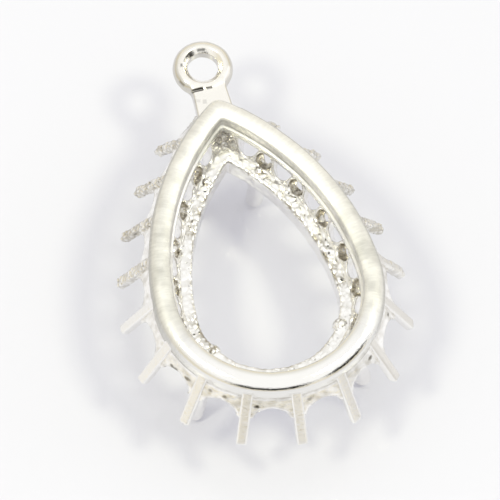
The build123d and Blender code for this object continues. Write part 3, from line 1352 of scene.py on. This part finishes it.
@dataclass(frozen=True)
class SilverFinish:
    """Cast silver, browned by its tarnished tint and by painted shade, with fine grit and, where it is
    brushed, cross strokes.
    """

    name: str
    bright: Colour = (0.93, 0.905, 0.85)
    # Brown: the colour of the tarnished tint and of the painted shade.
    brown: Colour = (0.30, 0.255, 0.165)
    # Near-black: the painted shade in nooks, recesses and pits, and the eye's dark arcs.
    darkening: Colour = (0.045, 0.042, 0.036)
    satin: float = 0.24
    polished: float = 0.07
    spread: float = 0.10
    mottle_size: float = 1.1
    mottle_detail: float = 4.0
    grit_size: float = 0.09
    grit_height: float = 0.010
    grit_detail: float = 3.0
    polished_grit: float = 0.40
    stroke_width: float = 0.0
    stroke_length: float = 0.7
    stroke_height: float = 0.004
    stroke_detail: float = 3.0
    stroke_tone: float = 0.06
    stroke_range: Pair = (0.35, 0.65)
    pit_spacing: float = 0.0
    pit_radius: float = 0.17
    pit_edge: Pair = (0.7, 1.2)
    pit_share: float = 0.58
    pit_depth: float = 0.03
    pit_bend: float = 0.5

    def material(self) -> bpy.types.Material:
        """Builds the material.

        Returns:
            The material.
        """
        made = bpy.data.materials.new(self.name)
        made.use_nodes = True
        wiring = Wiring(made.node_tree)
        metal = made.node_tree.nodes["Principled BSDF"].inputs
        metal["Metallic"].default_value = 1.0
        pits = self.pits(wiring) if self.pit_spacing else None
        made.node_tree.links.new(self.colour(wiring, pits), metal["Base Color"])
        made.node_tree.links.new(self.roughness(wiring), metal["Roughness"])
        made.node_tree.links.new(self.normal(wiring, pits), metal["Normal"])
        return made

    def colour(self, wiring: Wiring, pits: Socket | None) -> Socket:
        """Browns the bright metal with its tarnished tint and painted shade, and blackens its dark arcs and,
        as painted shade, its nooks, recesses and pits.

        Args:
            wiring: the material's wiring.
            pits: socket of the pits, if there are any.

        Returns:
            The socket of the colour.
        """
        tarnish_and_shade = wiring.coat(Coat.TARNISH_AND_SHADE)
        if self.stroke_width:
            tarnish_and_shade = self.streaked(wiring, tarnish_and_shade)
        tint = wiring.mix(tarnish_and_shade, (*self.bright, 1), (*self.brown, 1))
        darkening = wiring.coat(Coat.DARKENING)
        # The pits are blackened as painted shade.
        if pits is not None:
            darkening = wiring.maths("MAXIMUM", darkening, pits)
        return wiring.mix(darkening, tint, (*self.darkening, 1))

    def roughness(self, wiring: Wiring) -> Socket:
        """Mottles the satin and smooths it where it is polished.

        Args:
            wiring: the material's wiring.

        Returns:
            The socket of the roughness.
        """
        mottle = wiring.noise(self.mottle_size, self.mottle_detail)
        satin = wiring.span(mottle, (self.satin - self.spread, self.satin + self.spread))
        gloss = {"Factor_Float": wiring.coat(Coat.POLISH), "A_Float": satin, "B_Float": self.polished}
        return wiring.add("Mix", gloss, data_type="FLOAT")["Result_Float"]

    def normal(self, wiring: Wiring, pits: Socket | None) -> Socket:
        """Raises the grit, the brush strokes and the pits' rims.

        Args:
            wiring: the material's wiring.
            pits: socket of the pits, if there are any.

        Returns:
            The socket of the normal.
        """
        grit = wiring.noise(self.grit_size, self.grit_detail)
        bump = {"Height": grit, "Distance": self.grit_height * MM}
        if self.stroke_width:
            bump["Strength"] = wiring.span(wiring.coat(Coat.POLISH), (1.0, self.polished_grit))
            bump["Normal"] = self.strokes(wiring)
        if pits is not None:
            dent = {"Height": pits, "Distance": self.pit_depth * MM}
            bump["Normal"] = wiring.add("Bump", dent, invert=True)["Normal"]
        return wiring.add("Bump", bump)["Normal"]

    def pits(self, wiring: Wiring) -> Socket:
        """Pricks the skin with small crooked pits, where its coat asks for them.

        Args:
            wiring: the material's wiring.

        Returns:
            The socket that gives 1 in a pit and 0 beside it.
        """
        spacing = self.pit_spacing * MM
        place = wiring.place()
        bend = wiring.add("TexNoise", {"Vector": place, "Scale": 2 / spacing})["Color"]
        shifts = {"Vector": bend, "Vector_001": (self.pit_bend * spacing,) * 3, "Vector_002": place}
        crooked = wiring.add("VectorMath", shifts, operation="MULTIPLY_ADD")["Vector"]
        cells = wiring.add("TexVoronoi", {"Vector": crooked, "Scale": 1 / spacing})
        inner, outer = self.pit_edge
        near = wiring.span(cells["Distance"], (1.0, 0.0), (inner * self.pit_radius, outer * self.pit_radius))
        chosen = wiring.maths("LESS_THAN", cells["Color"], self.pit_share)
        return wiring.maths("MULTIPLY", wiring.maths("MULTIPLY", near, chosen), wiring.coat(Coat.PITTED))

    def brush(self, wiring: Wiring) -> tuple[Socket, Socket]:
        """Draws brush strokes straight across the metal.

        Args:
            wiring: the material's wiring.

        Returns:
            The sockets of the strokes and of how hard they press: not at all where it is polished.
        """
        stretch = {"Vector": wiring.place(), "Scale": self.stroke_width / (self.stroke_length * MM)}
        across = wiring.add("VectorMath", stretch, operation="SCALE")["Vector"]
        inputs = {
            "Vector": across, "W": wiring.coat(Coat.RUN),
            "Scale": 1 / self.stroke_width, "Detail": self.stroke_detail,
        }
        strokes = wiring.add("TexNoise", inputs, noise_dimensions="4D")["Fac"]
        return strokes, wiring.span(wiring.coat(Coat.POLISH), (1.0, 0.0))

    def strokes(self, wiring: Wiring) -> Socket:
        """Raises the brush strokes.

        Args:
            wiring: the material's wiring.

        Returns:
            The socket of the brushed normal.
        """
        strokes, press = self.brush(wiring)
        inputs = {"Height": strokes, "Strength": press, "Distance": self.stroke_height * MM}
        return wiring.add("Bump", inputs)["Normal"]

    def streaked(self, wiring: Wiring, tarnish_and_shade: Socket) -> Socket:
        """Darkens the metal a little along the brush strokes.

        Args:
            wiring: the material's wiring.
            tarnish_and_shade: socket of the tarnished tint and painted shade under the strokes.

        Returns:
            The socket of the streaked tint and shade.
        """
        strokes, press = self.brush(wiring)
        tone = wiring.span(strokes, (-self.stroke_tone, self.stroke_tone), self.stroke_range)
        return wiring.maths("MULTIPLY_ADD", tone, press, tarnish_and_shade, use_clamp=True)


CAST = SilverFinish("cast_silver", bright=(0.96, 0.95, 0.93), satin=0.20, pit_spacing=0.42)
BRUSHED = SilverFinish(
    "brushed_silver", bright=(0.940, 0.93, 0.905), brown=(0.29, 0.285, 0.265), satin=0.54, spread=0.12,
    grit_height=0.024, stroke_width=0.13, stroke_height=0.007,
)
SMOOTH = SilverFinish("smooth_silver", brown=(0.29, 0.28, 0.25), satin=0.16, grit_height=0.004)


@dataclass(frozen=True)
class Glow:
    """Soft-edged patch of the surroundings, seen in the metal's reflections, its angles in degrees."""

    toward: tuple[float, float, float]
    edge: float
    core: float
    colour: Colour

    def lay(self, wiring: Wiring, toward: Socket, under: Socket) -> Socket:
        """Lays the patch over the surroundings.

        Args:
            wiring: the surroundings' wiring.
            toward: socket of the direction.
            under: socket of the colour under the patch.

        Returns:
            The socket of the colour with the patch.
        """
        ways = {"Vector": toward, "Vector_001": Vector(self.toward).normalized()}
        near = wiring.add("VectorMath", ways, operation="DOT_PRODUCT")["Value"]
        ends = (math.cos(math.radians(self.edge)), math.cos(math.radians(self.core)))
        soft = wiring.span(near, (0.0, 1.0), ends, interpolation_type="SMOOTHSTEP")
        return wiring.mix(soft, under, (*self.colour, 1))


@dataclass(frozen=True)
class Lamp:
    """Round studio lamp, pointed at the mounting."""

    name: str
    toward: tuple[float, float, float]
    colour: Colour = (1.0, 0.99, 0.72)
    distance: float = 0.5
    width: float = 0.10
    power: float = 0.76

    def hang(self) -> None:
        """Hangs the lamp over the table."""
        data = bpy.data.lights.new(self.name, "AREA")
        data.shape = "DISK"
        data.size = self.width
        data.energy = self.power
        data.color = self.colour
        lamp = bpy.data.objects.new(self.name, data)
        way = Vector(self.toward).normalized()
        lamp.location = way * self.distance
        lamp.rotation_euler = way.to_track_quat("Z", "Y").to_euler()
        bpy.context.scene.collection.objects.link(lamp)


@dataclass(frozen=True)
class Studio:
    """White glossy table, soft white surroundings and the camera at the photograph's angle."""

    elevation: float = 62.84
    turn: float = 17.71
    roll: float = 4.07
    view_width: float = 31.25
    aim_right: float = -1.186
    aim_up: float = 2.2475
    lens: float = 1200.0
    sensor: float = 36.0
    clip: Pair = (0.01, 5.0)
    table_size: float = 0.6
    table_white: Colour = (0.54, 0.545, 0.61)
    table_glow: Colour = (0.155, 0.152, 0.162)
    table_roughness: float = 0.24
    strength: float = 1.05
    sky: tuple[tuple[float, Colour], ...] = (
        (0.00, (0.85, 0.785, 0.61)),
        (0.10, (0.85, 0.785, 0.62)),
        (0.45, (0.84, 0.825, 0.775)),
        (1.00, (0.90, 0.89, 0.86)),
    )
    ceiling: Glow = Glow((0.0, -0.35, 0.94), 76, 40, (1.00, 1.00, 0.99))
    side_light: Glow = Glow((1.0, -0.1, 0.35), 26, 16, (1.3, 1.3, 1.3))
    lamps: tuple[Lamp, ...] = (
        Lamp("right_lamp", (0.452, -0.219, 0.865)),
        Lamp("left_lamp", (-0.502, -0.143, 0.852)),
    )
    gap_bearings: tuple[float, ...] = (-12, 0, 12, 25, 60, 69, 78)
    gap_rise: float = 17.0
    gap_edge: float = 11.8
    gap_core: float = 8.3
    gap_colour: Colour = (0.02, 0.018, 0.016)

    @property
    def glows(self) -> list[Glow]:
        """Patches of the surroundings: the ceiling, a bright side, and a dark gap low in front."""
        low = math.radians(self.gap_rise)
        gap = []
        for bearing in self.gap_bearings:
            a = math.radians(bearing - self.turn)
            toward = (math.sin(a) * math.cos(low), -math.cos(a) * math.cos(low), math.sin(low))
            gap.append(Glow(toward, self.gap_edge, self.gap_core, self.gap_colour))
        return [self.ceiling, self.side_light] + gap

    def camera(self, belly: Vector) -> None:
        """Sets the camera.

        Args:
            belly: centre of the pear's belly at the rail's top, in metres.
        """
        e, a, r = (math.radians(v) for v in (self.elevation, self.turn, self.roll))
        right = Vector((math.cos(a), -math.sin(a), 0))
        up = Vector((math.sin(a) * math.sin(e), math.cos(a) * math.sin(e), math.cos(e)))
        back = right.cross(up)
        cam_right = right * math.cos(r) + up * math.sin(r)
        cam_up = up * math.cos(r) - right * math.sin(r)
        aim = belly + (cam_right * self.aim_right + cam_up * self.aim_up) * MM
        data = bpy.data.cameras.new("camera")
        data.lens = self.lens
        data.sensor_width = self.sensor
        data.clip_start, data.clip_end = self.clip
        camera = bpy.data.objects.new("camera", data)
        bpy.context.scene.collection.objects.link(camera)
        distance = self.view_width * MM * self.lens / self.sensor
        turned = Matrix((cam_right, cam_up, back)).transposed().to_4x4()
        camera.matrix_world = Matrix.Translation(aim + back * distance) @ turned
        bpy.context.scene.camera = camera

    def table(self) -> None:
        """Lays the white table under the mounting."""
        half = self.table_size / 2
        corners = [(-half, -half, 0), (half, -half, 0), (half, half, 0), (-half, half, 0)]
        mesh = bpy.data.meshes.new("table")
        mesh.from_pydata(corners, [], [(0, 1, 2, 3)])
        top = bpy.data.objects.new("table", mesh)
        bpy.context.scene.collection.objects.link(top)
        made = bpy.data.materials.new("white_table")
        made.use_nodes = True
        skin = made.node_tree.nodes["Principled BSDF"].inputs
        skin["Base Color"].default_value = (*self.table_white, 1)
        skin["Roughness"].default_value = self.table_roughness
        skin["Emission Color"].default_value = (*self.table_glow, 1)
        skin["Emission Strength"].default_value = 1.0
        mesh.materials.append(made)

    def surroundings(self) -> None:
        """Lights the table: white overhead, beige low down, with a dark gap low in front."""
        world = bpy.data.worlds.new("studio")
        bpy.context.scene.world = world
        world.use_nodes = True
        wiring = Wiring(world.node_tree)
        toward = wiring.add("TexCoord", {})["Generated"]
        rise = wiring.add("SeparateXYZ", {"Vector": toward})["Z"]
        shade = wiring.add("ValToRGB", {"Fac": rise})["Color"]
        stops = shade.node.color_ramp.elements
        for position, colour in self.sky:
            stops.new(position).color = (*colour, 1)
        stops.remove(stops[0])
        stops.remove(stops[-1])
        for glow in self.glows:
            shade = glow.lay(wiring, toward, shade)
        light = world.node_tree.nodes["Background"].inputs
        world.node_tree.links.new(shade, light["Color"])
        light["Strength"].default_value = self.strength


def main() -> None:
    """Builds the mounting piece by piece and sets it on the table."""
    logging.basicConfig(level=logging.INFO, format="%(message)s")
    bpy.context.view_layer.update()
    rail = BackRail()
    collet = Collet()
    eye = HangingEye()
    seating = Seating.from_frame(eye.far_edge, rail.dome_rise)
    log.info("seating: y %.4f, rail top %.4f", seating.shift_y, seating.rail_top)
    cast, brushed, smooth = (finish.material() for finish in (CAST, BRUSHED, SMOOTH))
    makers: list[tuple[Callable[[], Piece], bpy.types.Material]] = [
        (rail.build, brushed),
        (collet.build, cast),
        (HaloTier(rail, collet).build, cast),
        (HaloProngs().build, cast),
        (CentreProngs(collet, -seating.rail_top).build, cast),
        (eye.build, smooth),
    ]
    for make, finish in makers:
        make().set_in(seating, finish)
    studio = Studio()
    studio.table()
    studio.surroundings()
    for lamp in studio.lamps:
        lamp.hang()
    studio.camera(Vector(seating.to_metres(np.zeros(3)).tolist()))
    bpy.context.scene.view_settings.view_transform = "Standard"
    bpy.context.view_layer.update()


if __name__ == "__main__":
    main()
